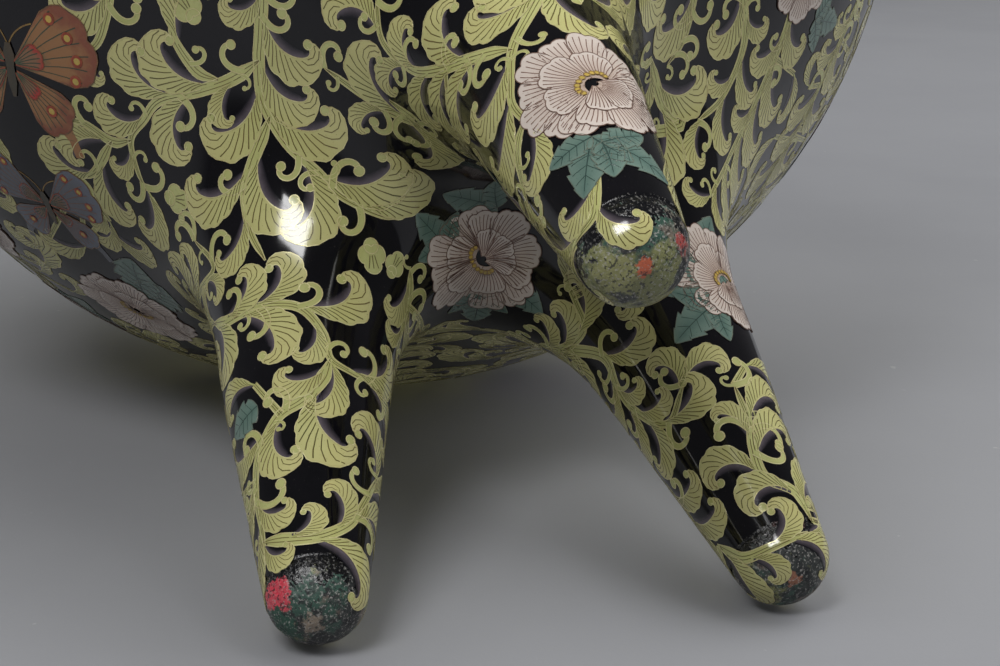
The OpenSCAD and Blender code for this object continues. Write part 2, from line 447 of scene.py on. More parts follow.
def disc(flat, centre, outline, lift=0.05, depth=0.3, rings=2):
    """Rounded shape from outline points going round counter-clockwise."""
    n = len(outline)
    centre = np.array(centre, float)
    middle = centre[None]
    shares = np.arange(1, rings + 1) / rings
    points = join(middle, *[centre + s * (outline - centre) for s in shares], middle)
    i = np.arange(n)
    k = (i + 1) % n
    tris = [tri(0, 1 + i, 1 + k)]
    for a in range(1, 1 + (rings - 1) * n, n):
        tris += [tri(a + i, a + n + i, a + n + k), tri(a + i, a + n + k, a + k)]
    a = 1 + (rings - 1) * n
    tris.append(tri(a + n, a + k, a + i))
    lifts = np.full(len(points), lift)
    lifts[-1] = -depth
    flat.add(points, lifts, np.zeros(len(points)), join(*tris))


def circle(centre, radius, count=12):
    return np.array(centre) + radius * rays(full_turn(count))


def dot(flat, centre, radius, count=12, lift=0.08, depth=0.3, rings=2):
    disc(flat, centre, circle(centre, radius, count), lift, depth, rings)


def ring_wire(flat, centre, radius, half=WIRE, lift=0.1):
    """Wire bent into a ring."""
    n = 14
    points = join(*[circle(centre, radius + side, n) for side in (half, -half, 0)])
    i = np.arange(n)
    k = (i + 1) % n
    o, e, b = i, i + n, i + 2 * n
    o2, e2, b2 = k, k + n, k + 2 * n
    tris = join(tri(e, o, o2), tri(e, o2, e2), tri(o, b, b2), tri(o, b2, o2),
                tri(e, e2, b2), tri(e, b2, b))
    flat.add(points, join(np.full(2 * n, lift), np.full(n, -0.12)), np.zeros(3 * n), tris)


def bent_line(length, headings):
    """Flat line of equal steps whose direction follows the headings."""
    step = length / (len(headings) - 1)
    moves = step * rays((headings[1:] + headings[:-1]) / 2)
    return join(np.zeros((1, 2)), np.cumsum(moves, axis=0))


def smooth_profile(at, heights, s):
    """Heights given at a few places, rounded off, for every s."""
    line = np.interp(np.linspace(0, 1, 121), at, heights)
    for _ in range(40):
        line[1:-1] = (line[:-2] + 2 * line[1:-1] + line[2:]) / 4
    return np.interp(s, np.linspace(0, 1, 121), line)


def leaf_frame(length, turn, width, lobes):
    """Inner edge of a curled leaf, the directions to its left, and its breadth."""
    s = np.linspace(0, 1, 33)
    hook = np.clip((s - 0.8) / 0.2, 0, 1)
    headings = -(turn * s ** 1.55 + 1.9 * hook ** 1.4)
    swell = smooth_profile((0, 0.12, 0.3, 0.5, 0.68, 0.82, 0.92, 1),
                           (0.05, 0.12, 0.4, 0.8, 1.03, 0.86, 0.42, 0.2), s)
    scallop = 0.9 + 0.13 * np.abs(np.sin(pi * (lobes + 1) * s ** 1.25)) ** 0.7
    broad = width * swell * np.where(s > 0.3, scallop, 0.97)
    return s, bent_line(length, headings), leftward(rays(headings)), broad


def leaf_layers(length, turn, width, lobes, strokes=11):
    """Curled leaf: a hollow inner edge that turns right, and a lobed blade on its left."""
    layers = defaultdict(Flat)
    s, inner, left, broad = leaf_frame(length, turn, width, lobes)
    t = np.linspace(0, 1, 4)
    grid = inner[:, None] + (t[None] * broad[:, None])[..., None] * left[:, None]
    slab(layers["leaf"], grid, 0.075, 0.3, s[:, None])
    end = inner[-1] + 0.45 * broad[-1] * left[-1]
    dot(layers["leaf"], end, 1.0)
    ring_wire(layers["wire"], end, 1.0, WIRE, 0.115)
    strip(layers["wire"], grid[5:, -1], WIRE, 0.11)
    strip(layers["wire"], inner[5:], WIRE, 0.11)
    u = np.linspace(0.1, 0.88, 5)
    for start in np.linspace(0.04, 0.78, strokes):
        at = np.clip(start + 0.25 * u ** 0.7, 0, 0.96) * 32
        low = np.floor(at).astype(int)
        part = (at - low)[:, None]
        base, out = (line[low] * (1 - part) + line[low + 1] * part for line in (inner, left))
        wide = broad[low] * (1 - part[:, 0]) + broad[low + 1] * part[:, 0]
        strip(layers["vein"], base + out * (wide * u)[:, None],
              np.linspace(0.09, 0.13, 5) * (0.6 + 0.4 * np.sin(pi * start)), 0.1, 0.1)
    reach = 2.1 * np.sin(pi * np.clip(s, 0.02, 0.98)) ** 0.6 * np.where(s > 0.8, 0.75, 1)
    depth = np.linspace(1, 0, 4)
    hollow = inner[:, None] - (depth[None] * reach[:, None])[..., None] * left[:, None]
    slab(layers["shade"], hollow[2:-3], 0.03, 0.25, 1 - depth[None])
    return layers


def curl_layers(turn, width):
    """Thin tendril 9 mm long that ends in a round knob."""
    layers = defaultdict(Flat)
    knob = 0.95
    s = np.linspace(0, 1, 18)
    line = bent_line(9.0, 0.8 - turn * s ** 1.9)
    half = width * (1 - 0.3 * s)
    strip(layers["leaf"], line, half, 0.07, 0.3)
    dot(layers["leaf"], line[-1], knob)
    side = leftward(direction(line)) * half[:, None]
    for edge in (line + side, line - side):
        strip(layers["wire"], edge[:-1], WIRE, 0.1)
    ring_wire(layers["wire"], line[-1], knob, WIRE, 0.105)
    return layers


def bud_layers():
    """Three-lobed bud on a short cup."""
    layers = defaultdict(Flat)
    turn = np.linspace(-pi, pi, 36, endpoint=False)
    reach = 3.0 * (0.72 + 0.3 * np.abs(np.cos(1.5 * turn)) ** 0.7)
    outline = np.array([3.2, 0]) + reach[:, None] * rays(turn)
    disc(layers["leaf"], (3.2, 0), outline, 0.07, 0.3, 4)
    strip(layers["wire"], join(outline, outline[:1]), WIRE, 0.1)
    dot(layers["leaf"], (0.9, 0), 1.5, lift=0.085)
    ring_wire(layers["wire"], (0.9, 0), 1.5, WIRE, 0.115)
    for slant in (-0.5, 0, 0.5):
        strip(layers["vein"], [(2.7, slant), (4.2, 1.6 * slant), (5.2, 2.2 * slant)], 0.1, 0.1)
    return layers


def fan_petal(layers, base, facing, spread, inner, outer, tier, strokes=9, kind="petal", lobes=3):
    """One petal or wing: a fan about a base point, with scalloped rim, fine strokes and wire."""
    t = np.linspace(-1, 1, 19)
    turn = facing + spread * t
    rim = inner + (outer - inner) * (1 - np.abs(t) ** 3.2) ** 0.32
    rim = rim * (0.965 + 0.05 * np.abs(np.sin(pi * lobes * (t + 1) / 2)) ** 0.7)
    share = np.linspace(1, 0, 5)
    reach = inner + (rim - inner)[:, None] * share[None]
    base = np.array(base, float)
    grid = base + reach[..., None] * rays(turn)[:, None]
    lift = 0.12 + 0.035 * tier
    slab(layers[kind], grid, lift, 0.25, share[None])
    for edge in (grid[:, 0], grid[0], grid[-1]):
        strip(layers[kind + "_wire"], edge, WIRE, lift + 0.03, 0.05)
    for k in range(strokes):
        at = facing + spread * 0.86 * (2 * (k + 0.5) / strokes - 1)
        edge = np.interp(at, turn, rim)
        near = inner + (0.1 + 0.12 * (k % 2)) * (edge - inner)
        radii = np.linspace(near, inner + 0.9 * (edge - inner), 5)
        bow = at + 0.06 * spread * np.sin(np.linspace(0, pi, 5))
        strip(layers[kind + "_vein"], base + radii[:, None] * rays(bow),
              np.linspace(0.06, 0.09, 5), lift + 0.02, 0.05)


# Petals from the back of a peony to its front: directions, the way up of their base, half spread,
# inner and outer radius with its step, first tier and petals to a tier, strokes and lobes
PETALS = (
    ((178, 150, 122, 94, 66, 38, 10), 1.0, 20, 4.0, 14.2, 1.3, "alternate", 0, 7, 2),
    ((-12, -172), 0.0, 24, 3.0, 13.2, 0.0, "level", 1, 7, 2),
    ((150, 95, 40), 0.5, 33, 2.5, 10.0, 0.9, "alternate", 2, 10, 3),
    ((-150, -30, -112, -68), 1.0, 27, 2.0, 11.2, 0.6, "pairs", 3, 9, 3),
    ((-135, -45, -90), 1.6, 33, 0.8, 7.4, 0.0, "pairs", 5, 9, 3),
)


def peony_layers():
    """Side view of a peony about 32 mm wide: back petals, a tall fan, stamens and front petals."""
    layers = defaultdict(Flat)
    for ways, up, spread, inner, outer, growth, order, tier, strokes, lobes in PETALS:
        for k, way in enumerate(ways):
            step = {"alternate": k % 2, "level": 0, "pairs": k // 2}[order]
            longer = growth * (k if order == "pairs" else step)
            fan_petal(layers, (0, up), radians(way), radians(spread), inner, outer + longer,
                      tier + step, strokes, "petal", lobes)
    for at in np.radians(np.linspace(192, -12, 11)):
        spot = (3.6 * cos(at), 1.9 + 2.0 * sin(at))
        dot(layers["gold"], spot, 0.5, 9, 0.36, 0.1, 1)
        ring_wire(layers["gold_wire"], spot, 0.5, 0.08, 0.39)
    return layers


def teal_layers(length=15.0, lobed=True):
    """Serrated leaf of three blades, with a midrib and side veins on each."""
    layers = defaultdict(Flat)
    blades = [(0.0, length, 4.6)]
    if lobed:
        blades += [(0.85, 0.66 * length, 3.4), (-0.85, 0.66 * length, 3.4)]
    s = np.linspace(0, 1, 25)
    saw = ((s * 3.6) % 1.0) * (s > 0.2)
    across = np.linspace(-1, 1, 5)
    for tier, (turn, reach, broad) in enumerate(blades):
        mid = bent_line(reach, turn + 0.25 * np.sign(turn) * s)
        along = direction(mid)
        side = leftward(along)
        swell = broad * np.sin(pi * s ** 0.8) ** 0.75 + 0.12
        edge = (swell * (1 - 0.3 * saw))[:, None] * side
        grid = mid[:, None] + across[None, :, None] * edge[:, None]
        grid[:, [0, -1]] += (0.77 * saw[:, None] * along)[:, None]
        lift = 0.09 + 0.02 * tier
        slab(layers["teal"], grid, lift, 0.3, np.abs(across)[None])
        for k in (0, -1):
            strip(layers["teal_wire"], grid[:, k], 0.08, lift + 0.03, 0.1)
        strip(layers["teal_vein"], mid[:-2], np.linspace(0.16, 0.07, 23), lift + 0.025, 0.1)
        for at in (4, 8, 12, 16):
            for way in (-1, 1):
                end = mid[at + 3] + way * 0.7 * swell[at + 3] * side[at + 3]
                strip(layers["teal_vein"], np.linspace(mid[at], end, 4), 0.07, lift + 0.025, 0.1)
    return layers


def butterfly_layers():
    """Butterfly seen from above: four scalloped wings with rays and spots, a body and feelers."""
    layers = defaultdict(Flat)
    for way in (-1, 1):
        hind, fore = (-0.6, way * 0.6), (0.4, way * 0.6)
        fan_petal(layers, hind, way * 2.3, 0.56, 0.6, 12.5, 0, 8, "wing", 3)
        fan_petal(layers, hind, way * 2.3, 0.4, 0.6, 5.6, 1, 5, "band", 2)
        fan_petal(layers, fore, way * 1.12, 0.64, 0.6, 16.5, 2, 7, "wing", 4)
        fan_petal(layers, fore, way * 1.12, 0.5, 0.6, 6.4, 3, 6, "band", 3)
        tail = [(-8.0, way * 8.6), (-10.6, way * 10.4), (-13.6, way * 11.2)]
        strip(layers["wing"], tail, np.array([1.5, 0.9, 0.9]), 0.1, 0.2, 0.6)
        for turn, reach in ((0.72, 12.6), (1.02, 13.4), (1.3, 13.4), (1.56, 12.4), (2.3, 9.4)):
            spot = (reach * cos(turn), way * reach * sin(turn))
            dot(layers["gold"], spot, 0.6, 10, 0.26, 0.1, 1)
            ring_wire(layers["band_wire"], spot, 0.8, 0.22, 0.28)
        feeler = bent_line(7.0, way * (0.35 + 0.9 * np.linspace(0, 1, 9)))
        strip(layers["gold_wire"], feeler + [3.2, 0], 0.12, 0.1, 0.1)
    strip(layers["body"], [(-5.5, 0), (-3, 0), (0, 0), (2, 0), (3.8, 0)],
          np.array([0.3, 0.9, 0.8, 1.1, 0.5]), 0.26, 0.2)
    return layers


# ---------------------------------------------------------------- laying shapes on the vase
LAID = defaultdict(list)
LEAVES = ((16.0, 2.15, 5.9, 5), (17.5, 1.95, 6.3, 6), (15.0, 2.35, 5.6, 5), (18.0, 1.75, 5.8, 6))
LIBRARY = {f"leaf{k}": leaf_layers(*sizes) for k, sizes in enumerate(LEAVES)}
LIBRARY.update(curl0=curl_layers(4.0, 0.62), curl1=curl_layers(3.1, 0.65), bud=bud_layers(),
               peony=peony_layers(), teal=teal_layers(), teal_small=teal_layers(10.0, False),
               butterfly=butterfly_layers())
LIBRARY["moth"] = LIBRARY["butterfly"]
MOTH_COLOURS = {"wing": "mauve", "wing_vein": "mauve_vein", "band": "brown"}


def lay(name, origin, heading, scale=1.0, mirror=False):
    """Notes down one shape to be laid with its own u axis along heading."""
    LAID[name].append((origin, heading, scale, -1.0 if mirror else 1.0))


def press(shape, origins, headings, scales, mirrors):
    """Lays one flat shape many times. Returns points, normals, fades and triangles."""
    uv, lift, fade, tris = shape
    count, n = len(origins), len(uv)
    normal = settle(origins, times=1)[1]
    forward = level(headings, normal)
    aside = np.cross(normal, forward)
    u = uv[None, :, 0] * scales[:, None]
    v = uv[None, :, 1] * (scales * mirrors)[:, None]
    reach = np.hypot(u, v).reshape(-1)
    way = unit((u[..., None] * forward[:, None] + v[..., None] * aside[:, None]).reshape(-1, 3))
    p = np.repeat(origins, n, axis=0)
    for _ in range(3):
        p, way, around = walk(p, way, reach / 3)
    p = p + np.tile(lift, count)[:, None] * around
    faces = np.where((mirrors < 0)[:, None, None], tris[None, :, ::-1], tris[None])
    faces = faces + (np.arange(count) * n)[:, None, None]
    return p, around, np.tile(fade, count), faces.reshape(-1, 3)


def zone(p):
    """Which piece a point belongs to: a leg, a third of the bowl or of the dome, or the neck."""
    leg_length, leg_margin, leg_top = 80, 12, -70
    rel = p - CENTRE
    turn = np.degrees(np.arctan2(rel[:, 1], rel[:, 0]))
    third = np.full(len(p), "a", dtype="<U9")
    for name in "bc":
        third[np.abs((turn - LEG_AZIMUTH[name] + 180) % 360 - 180) < 60] = name
    where = np.char.add(np.where(rel[:, 2] > 0, "dome_", "bowl_"), third)
    for name, leg in LEGS.items():
        d, _, s = leg.field(p)
        where[(s < leg_length) & (d < leg_margin) & (rel[:, 2] < leg_top)] = "leg_" + name
    top = rel[:, 2] * SHOULDER_DIR[0] > np.hypot(rel[:, 0], rel[:, 1]) * SHOULDER_DIR[1]
    where[top] = "neck"
    return where


# ---------------------------------------------------------------- where the shapes go
NOBODY, ANYBODY, LEAF_OWNER = -1, -2, -3


class Ground:
    """Keeps track of the discs already taken, so that shapes do not overlap."""

    def __init__(self, most=40000):
        self.centres = np.zeros((most, 3))
        self.radii = np.zeros(most)
        self.owner = np.full(most, NOBODY)
        self.size = 0

    def take(self, centres, radii, owner=NOBODY):
        """Takes discs about centres (n, 3), or one disc about a single point."""
        centres = np.atleast_2d(centres)
        at = slice(self.size, self.size + len(centres))
        self.centres[at] = centres
        self.radii[at] = radii
        self.owner[at] = owner
        self.size += len(centres)

    def room(self, points, owner=ANYBODY):
        """Free distance round each point, not counting what the owner has taken."""
        others = self.owner[:self.size] != owner
        centres, radii = self.centres[:self.size][others], self.radii[:self.size][others]
        free = np.empty(len(points))
        for at in range(0, len(points), 400):
            part = points[at:at + 400]
            gap = norm(part[:, None] - centres[None], axis=2) - radii[None]
            free[at:at + 400] = gap.min(axis=1)
        return free


GROUND = Ground()
VINES = []


def seen_in_quick(points):
    return points


def smooth_path(spots):
    """Steps of about 1 mm on the vase along a smooth curve through the given points."""
    p = np.array(spots)
    p = join(2 * p[:1] - p[1:2], p, 2 * p[-1:] - p[-2:-1])
    line = []
    for a, b, c, d in zip(p[:-3], p[1:-2], p[2:-1], p[3:]):
        t = np.linspace(0, 1, max(2, int(norm(c - b))), endpoint=False)[:, None]
        line.append(0.5 * (2 * b + (c - a) * t + (2 * a - 5 * b + 4 * c - d) * t ** 2
                           + (3 * b - a - 3 * c + d) * t ** 3))
    return settle(join(*line, p[-2:-1]), times=5)


def add_vine(points, normals, start=1.5, end=0.55):
    """Notes a stem, tapering from its start to its end, and takes its ground."""
    owner = len(VINES)
    gone = np.arange(len(points)) * 1.0
    half = np.linspace(start, end, len(points)) * np.clip(0.15 + gone / 5, 0, 1)
    half = half * np.clip(0.2 + gone[::-1] / 4, 0, 1)
    VINES.append((points, normals, half))
    GROUND.take(points[::2], 0.6, owner)
    return owner


def leaf_discs(sizes, at=(11, 16, 20, 24, 29)):
    """Flat places of the five discs that stand for a leaf's blade."""
    _, line, side, broad = leaf_frame(*sizes)
    at = list(at)
    return line[at] + 0.5 * broad[at][:, None] * side[at]


LEAF_SPOTS = [leaf_discs(sizes) for sizes in LEAVES]
LEAF_RADII = np.array([1.4, 2.2, 2.9, 2.9, 1.9])


def leaf_places(kind, origins, headings, sizes, mirrored):
    """Surface places of a leaf's discs for each way it may be laid, as (times, 5, 3)."""
    uv = LEAF_SPOTS[kind]
    shape = (uv, np.zeros(len(uv)), np.zeros(len(uv)), np.zeros((0, 3), int))
    mirrors = np.where(mirrored, -1.0, 1.0)
    return press(shape, np.array(origins), np.array(headings), np.array(sizes), mirrors)[0].reshape(
        -1, len(uv), 3)


def turned_heading(heading, normal, angle):
    return cos(angle) * heading + sin(angle) * np.cross(normal, heading)


SIZES = (1.0, 0.88, 0.76, 0.66, 0.56)


def leaf_tries(owner, spacing, big):
    """Leaves worth trying along a stem: number, kind, root, heading, size and mirror."""
    points, normals, half = VINES[owner]
    along = direction(points)
    length = join([0], np.cumsum(norm(np.diff(points, axis=0), axis=1)))
    tries = []
    for number, at in enumerate(np.arange(2.0, length[-1] - 1.0, spacing / 2)):
        way = 1 if number % 2 else -1
        i = min(int(np.searchsorted(length, at)), len(points) - 1)
        root = points[i] + way * 0.35 * half[i] * np.cross(normals[i], along[i])
        for size in SIZES:
            kind = int(RNG.integers(4))
            heading = turned_heading(along[i], normals[i], way * (0.22 + 0.16 * RNG.random()))
            tries.append((number, kind, root, heading, size * big, way > 0))
    for kind, size in ((0, 0.85), (2, 0.6)):
        tries.append((-1, kind, points[-1], along[-1], size * big, RNG.random() < 0.5))
    return tries


def grow_leaves(owner, spacing=9.4, big=1.0):
    """Leaves on both sides of a stem, each as large as the room it has."""
    clear_of_others, clear_of_own = 0.92, 0.8
    tries = leaf_tries(owner, spacing, big)
    done = set()
    spots = np.zeros((len(tries), 5, 3))
    for kind in range(4):
        mine = [n for n, item in enumerate(tries) if item[1] == kind]
        if mine:
            spots[mine] = leaf_places(kind, *zip(*[tries[n][2:] for n in mine]))
    for n, (number, kind, root, heading, size, mirror) in enumerate(tries):
        if number in done:
            continue
        radii = LEAF_RADII * size
        free = GROUND.room(spots[n][1:], owner)
        mine = GROUND.room(spots[n][2:])
        clear = (free > clear_of_others * radii[1:]).all()
        if clear and (mine > clear_of_own * radii[2:]).all():
            done.add(number)
            lay(f"leaf{kind}", root, heading, size, mirror)
            GROUND.take(spots[n], radii, LEAF_OWNER)


def drift(p, normal):
    """Direction in which the free stems run: downwards, swaying from side to side."""
    down = unit(normal * normal[:, 2:3] - UP + 0.05 * np.cross(normal, [0.3, 0.8, 0.1]))
    sway = (1.0 * sin(0.052 * p[0, 0] + 0.031 * p[0, 2] + 1.0)
            + 0.8 * sin(0.047 * p[0, 1] - 0.043 * p[0, 2] + 2.0))
    return turned_heading(down, normal, sway)


def trail(start, way, owner, limit):
    """Points of a free stem from start, until it comes close to others."""
    step, clear = 2.0, 9.0
    p = start[None]
    normal = normals_at(p)
    line = []
    while len(line) * step < limit:
        p, _, normal = walk(p, way * drift(p, normal), np.array([step]))
        past_mouth = p[0, 2] - CENTRE[2] > MOUTH_Z - 6
        if past_mouth or p[0, 2] < 4 or GROUND.room(p, owner)[0] < clear:
            break
        line.append(p[0])
    return line


def random_points(count):
    """Points spread over the body, the neck and the legs."""
    body = settle(CENTRE + BELLY_R * unit(RNG.normal(size=(count, 3))), times=6)[0]
    turn = RNG.random(count // 10) * 2 * pi
    rise = RNG.uniform(SHOULDER_C[1], MOUTH_Z - 6, count // 10)
    neck = CENTRE + join(NECK_R * rays(turn).T, rise[None]).T
    parts = [body, settle(neck, times=6)[0]]
    for leg in LEGS.values():
        along = RNG.uniform(4, 90, count // 9)
        point, axis = leg.line(along)
        ray = unit(np.cross(axis, RNG.normal(size=(len(along), 3))))
        parts.append(settle(point + (FOOT_R + LEG_GROWTH * along)[:, None] * ray, times=6)[0])
    return RNG.permutation(join(*parts))


def free_vines(limit=110.0, apart=16.0):
    seeds = seen_in_quick(random_points(2600))
    for seed in seeds:
        if GROUND.room(seed[None])[0] < apart:
            continue
        owner = len(VINES)
        tail = trail(seed, -1, owner, limit / 2)
        head = trail(seed, 1, owner, limit / 2)
        line = tail[::-1] + [seed] + head
        if len(line) < 7:
            continue
        points, normals = smooth_path(line[::2] if len(line) > 9 else line)
        add_vine(points, normals, 1.3, 0.5)
        grow_leaves(owner)


# Room that a leaf in a gap needs for each unit of its size, with its largest size
LEAF_FITS = ((3.7, 1.1), (4.4, 0.9), (5.2, 0.75))
SMALLEST_LEAF = 0.42
LEAF_MIDDLE = 4.6


def leaf_in_gap(p, root, reach, room):
    """Tries a leaf round p on a short stalk from root. Returns whether one fitted."""
    heading = unit(p - root)
    normal = unit(p - CENTRE) if p[2] > 110 else normals_at(p[None])[0]
    for need, largest in LEAF_FITS:
        size = min(room / need, largest)
        if size < SMALLEST_LEAF:
            break
        for way in RNG.permutation([-1, 1]):
            kind = int(RNG.integers(4))
            start = p - min(LEAF_MIDDLE * size, reach) * heading
            swerve = turned_heading(heading, normal, way * 0.55)
            spots = leaf_places(kind, [start], [swerve], [size], [way > 0])[0]
            radii = LEAF_RADII * size
            if (GROUND.room(spots[1:]) < 0.85 * radii[1:]).any():
                continue
            lay(f"leaf{kind}", start, swerve, size, way > 0)
            path, normals = smooth_path([root, (root + start) / 2, start + 0.4 * heading])
            if len(path) > 3:
                VINES.append((path, normals, np.linspace(0.75, 0.6, len(path))))
            GROUND.take(spots, radii, LEAF_OWNER)
            return True
    return False


def curl_in_gap(p, root, reach, room):
    """A curl from a stem at root to the open ground round p, if its way there is free."""
    longest, curl_length = 14, 5.2
    middle = (p + root) / 2
    if reach > longest or GROUND.room(middle[None])[0] < min(0.9, reach / 2 - 0.8):
        return
    size = np.clip(reach / curl_length, 0.45, 1.15)
    lay(f"curl{RNG.integers(2)}", root, unit(p - root), size, RNG.random() < 0.5)
    GROUND.take([p, middle], [min(room, 1.2 + 1.1 * size), 1.1], LEAF_OWNER)


def fill_gaps(widths=(4.4, 3.4, 2.6, 1.9), least_for_leaf=2):
    """Leaves on short stalks and curls, where there is still open ground, the widest gaps first."""
    stems = join(*[vine[0] for vine in VINES])
    spots = seen_in_quick(random_points(26000))
    free = GROUND.room(spots)
    for low in widths:
        order = np.flatnonzero(free > low)
        for p in spots[order[np.argsort(-free[order])]]:
            room = GROUND.room(p[None])[0]
            if room < low:
                continue
            gap = norm(stems - p, axis=1)
            near = int(gap.argmin())
            if low > least_for_leaf and leaf_in_gap(p, stems[near], gap[near], room):
                continue
            curl_in_gap(p, stems[near], gap[near], room)


# ---------------------------------------------------------------- the design on the seen side
# Stems as runs of (degrees, millimetres or degrees) on the body, "o", or on a leg, as in place()
STEMS = [
    [("o", (-93, 26), (-102, 23), (-106, 22), (-113, 20), (-118, 17), (-120, 14), (-123, 12),
      (-126, 9), (-128, 7))],
    [("o", (-106, 22), (-113, 23), (-119, 25), (-125, 28), (-130, 29), (-135, 30), (-141, 29),
      (-143, 28))],
    [("c", (12, 69), (-15, 55), (-37, 47), (-49, 40), (-56, 35), (-52, 28), (-40, 22))],
    [("c", (-37, 47), (-63, 54), (-84, 63), (-94, 73)), ("o", (-77, 18), (-74, 21))],
    [("a", (36, 66), (52, 62), (76, 60), (94, 59), (112, 57), (126, 51), (131, 45), (148, 43),
      (165, 43))],
    [("a", (131, 45), (125, 40), (110, 35), (89, 32), (65, 25), (56, 17), (56, 9), (47, 4))],
    [("b", (112, 80), (124, 73), (136, 68), (163, 64), (173, 70)), ("o", (78, 7))],
    [("b", (136, 68), (162, 56), (156, 48), (156, 42), (169, 34), (-176, 32), (-154, 37))],
    [("b", (-88, 1), (-97, 7), (-126, 11), (-125, 18), (-118, 24), (-117, 33))],
    [("o", (-115, 19), (-126, 19), (-132, 19), (-137, 18)), ("a", (90, 70))],
    [("o", (-111, 36), (-117, 35), (-122, 35), (-126, 37))],
    [("a", (36, 66)), ("o", (-170, 26), (-148, 21), (-146, 23))],
    [("o", (-115, 24), (-116, 26), (-113, 29), (-109, 30))],
    [("o", (-135, 30), (-137, 32), (-136, 35), (-137, 37))],
    [("o", (-137, 32), (-144, 34), (-147, 36))],
    [("a", (53, 8), (93, 5), (123, 5), (152, 9), (170, 16), (-173, 24))],
    [("a", (175, 78), (-172, 71), (-165, 62), (-160, 55))],
    [("o", (-84, 14), (-79, 12), (-86, 13), (-91, 15), (-95, 18))],
    [("c", (-54, 30), (-73, 27), (-89, 22), (-102, 19))],
    [("c", (-25, 8), (-37, 4), (-50, 0), (-82, 0))],
    [("o", (2, 18), (17, 17), (26, 17)), ("c", (66, 19), (49, 7))],
    [("b", (115, 30), (122, 24), (125, 18), (127, 12))],
    [("b", (143, 6), (167, -1), (-151, -3), (-103, -2))],
    [("o", (37, 49), (44, 44), (52, 42), (61, 40), (68, 43))],
    [("o", (13, 30), (24, 28), (30, 24), (30, 20))],
    [("o", (2, 26), (9, 22), (10, 19))],
    [("o", (23, 37), (31, 33), (39, 28), (44, 23), (45, 19))],
]

# Each motif: shape, where it is, the spot it points towards, its scale, and the ground it takes
MOTIFS = [
    ("peony", ("c", 7, 30), ("c", 33, 37), 1.05, 14.5),
    ("teal", ("c", -17, 17), ("c", -39, 8), 0.9, 7.0),
    ("teal", ("c", -11, 15), ("c", 27, 10), 0.9, 7.0),
    ("peony", ("o", 125, 4), ("o", 167, 2), 1.0, 14.0),
    ("teal", ("o", -175, 4), ("o", -136, 5), 0.8, 7.0),
    ("teal", ("o", 16, 1), ("o", -102, 4), 0.9, 7.0),
    ("teal", ("o", 132, 8), ("o", 130, 17), 0.8, 7.0),
    ("teal_small", ("o", 114, 7), ("o", 106, 8), 0.9, 4.0),
    ("peony", ("b", -82, 60), ("b", -70, 62), 0.95, 13.0),
    ("teal", ("b", -104, 63), ("o", 47, 19), 1.1, 9.0),
    ("teal", ("b", -106, 60), ("b", -150, 62), 0.9, 7.0),
    ("teal", ("b", -104, 54), ("b", -147, 47), 0.95, 7.0),
    ("butterfly", ("o", -132, 43), ("o", -126, 44), 1.4, 15.5),
    ("moth", ("o", -155, 42), ("o", -150, 42), 1.1, 11.5),
    ("peony", ("o", -178, 41), ("o", -165, 47), 1.1, 15.0),
    ("teal_small", ("o", -173, 37), ("o", -153, 32), 1.6, 8.0),
    ("teal_small", ("o", -176, 37), ("o", -160, 28), 1.5, 8.0),
    ("peony", ("o", -165, 58), ("o", -150, 60), 1.0, 14.0),
    ("peony", ("o", 22, 38), ("o", 30, 42), 1.0, 14.5),
    ("teal", ("o", 32, 39), ("o", 37, 44), 0.9, 7.0),
    ("teal_small", ("a", 74, 37), ("a", 50, 36), 0.9, 4.0),
    ("bud", ("o", -142, 26), ("o", -139, 23), 1.1, 3.6),
    ("bud", ("a", 146, 77), ("a", 153, 71), 1.1, 3.6),
    ("bud", ("o", -150, 8), ("o", -146, 7), 0.9, 3.0),
    ("bud", ("o", -108, 28), ("o", -106, 31), 1.1, 3.6),
]

# Patches of wear: direction from the middle of the foot's ball, radius, and colour
TIP_SPOTS = {
    "a": [((-0.36, -0.87, -0.34), 3.4, (0.45, 0.04, 0.06)),
          ((-0.57, -0.47, -0.67), 3.2, (0.008, 0.05, 0.03)),
          ((-0.06, -0.3, -0.95), 1.8, (0.2, 0.16, 0.12))],
    "b": [((0.18, -0.28, -0.94), 1.3, (0.22, 0.09, 0.05)),
          ((0.92, -0.05, -0.4), 2.0, (0.2, 0.16, 0.14)),
          ((0.73, -0.74, 0.07), 2.6, (0.03, 0.01, 0.01))],
    "c": [((0.15, -0.32, -0.93), 1.3, (0.4, 0.09, 0.04)),
          ((0.84, 0.09, -0.53), 1.5, (0.25, 0.03, 0.025)),
          ((-0.29, -0.48, -0.83), 3.4, (0.2, 0.2, 0.08)),
          ((0.21, 0.15, -0.96), 2.2, (0.16, 0.17, 0.07))],
}


def spare_tips():
    """Keeps leaves off the ends of the feet and off the largest patch of wear."""
    for name, leg in LEGS.items():
        GROUND.take(leg.foot - FOOT_R * UP, 3.0 if name == "b" else 6.0)
    GROUND.take(LEGS["a"].foot + FOOT_R * unit(np.array(TIP_SPOTS["a"][0][0])), 3.6)


def lay_design():
    spare_tips()
    for name, spot, target, scale, radius in MOTIFS:
        p = place(spot)
        way = unit(place(target) - p)
        lay(name, p, way, scale)
        GROUND.take(p + (0.75 * radius if name[:4] == "teal" else 0.0) * way, radius)
    for runs in STEMS:
        spots = [(name, *pair) for name, *pairs in runs for pair in pairs]
        add_vine(*smooth_path([place(spot) for spot in spots]))
    for owner, runs in enumerate(STEMS):
        big = 0.88 if runs[0][0] == "b" else 1.04
        grow_leaves(owner, 9.0 * big, big)


def flower_group(p, normal, heading):
    """A peony with three of its leaves."""
    lay("peony", p, heading, 1.05)
    GROUND.take(p, 14.5)
    for turn in (2.3, -2.2, 0.5):
        away = turned_heading(heading, normal, turn)
        root = p + 10.5 * away
        lay("teal", root, away, 0.95)
        GROUND.take(root + 7.5 * away, 7.5)


